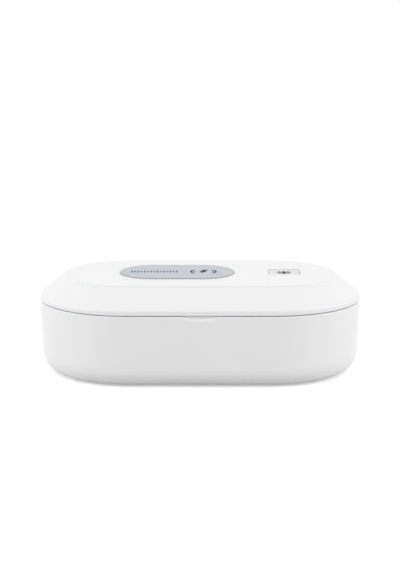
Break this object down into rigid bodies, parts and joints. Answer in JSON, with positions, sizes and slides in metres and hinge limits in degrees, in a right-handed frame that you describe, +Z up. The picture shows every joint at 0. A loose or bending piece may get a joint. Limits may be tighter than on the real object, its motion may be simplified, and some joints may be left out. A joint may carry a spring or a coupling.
{
  "type": "ultraviolet phone sanitizer box",
  "caption": "Stadium-shaped white box with a hinged, bevelled lid, ultraviolet lamps over and under a phone chamber, a wireless charging pad on top and a push button.",
  "frame": {"origin": "on the table plane under the feet, below the middle of the box", "axes": "+X to the right along the length, +Y to the hinge at the back, +Z up"},
  "size_m": [0.21, 0.118, 0.0642],
  "materials": {
    "shell_white": "satin moulded white",
    "chamber_silver": "metallised, bright satin",
    "pad_silicone": "soft matt light grey",
    "button_plastic": "satin light grey",
    "silicone_grey": "matt silicone",
    "foot_rubber": "matt",
    "boot_rubber": "matt white silicone",
    "guard_white": "satin",
    "reflector_sheet": "bright rolled",
    "quartz": "clear",
    "screw_steel": "zinc plated",
    "plated_steel": "nickel plated",
    "board_green": "solder mask",
    "component_black": "moulded",
    "ferrite": "sintered, dark grey",
    "copper": "enamelled copper wire",
    "light_clear": "clear moulded",
    "lead_sheath": "matt"
  },
  "bodies": {
    "base": {"base_shell": "shell_white", "chamber_tub": "chamber_silver", "phone_rests": "silicone_grey", "rim_pads": "silicone_grey", "rubber_feet": "foot_rubber", "base_screws": "screw_steel", "main_board": "board_green", "main_board_parts": "component_black", "usb_shell": "plated_steel", "usb_tongue": "component_black", "lamp_driver_board": "board_green", "lamp_transformer": "ferrite", "lamp_driver_parts": "component_black", "board_screws": "screw_steel", "lid_sensor": "board_green", "hinge_pin": "plated_steel", "hinge_pin_tube": "plated_steel", "hinge_lead_base": "lead_sheath", "sensor_lead": "lead_sheath", "driver_lead": "lead_sheath", "base_lamp_leads": "lead_sheath", "base_lamp_reflector": "reflector_sheet", "base_lamp_tube": "quartz", "base_lamp_boots": "boot_rubber", "base_lamp_guard": "guard_white"},
    "lid": {"lid_shell": "shell_white", "charge_pad": "pad_silicone", "charging_coil": "copper", "ferrite_plate": "ferrite", "coil_leads": "copper", "charger_board": "board_green", "charger_parts": "component_black", "charger_screws": "screw_steel", "switch_board": "board_green", "switch_screws": "screw_steel", "tact_switch": "component_black", "button_lights": "light_clear", "lid_liner": "chamber_silver", "liner_screws": "screw_steel", "lid_magnet": "plated_steel", "hinge_lead_lid": "lead_sheath", "lid_lamp_leads": "lead_sheath", "switch_lead": "lead_sheath", "lid_lamp_reflector": "reflector_sheet", "lid_lamp_tube": "quartz", "lid_lamp_boots": "boot_rubber", "lid_lamp_guard": "guard_white"},
    "button": {"button_cap": "button_plastic", "switch_plunger": "component_black"}
  },
  "joints": [
    {"name": "lid_hinge", "type": "hinge", "parent": "base", "child": "lid", "pos_m": [0, 0.0566, 0.04235], "axis": [-1, 0, 0], "range_deg": [0, 100]},
    {"name": "button_press", "type": "slide", "parent": "lid", "child": "button", "axis": [0, 0, -1], "range_m": [0, 0.0006], "stiffness_N_per_m": 2500, "springref_m": -0.0002}
  ]
}
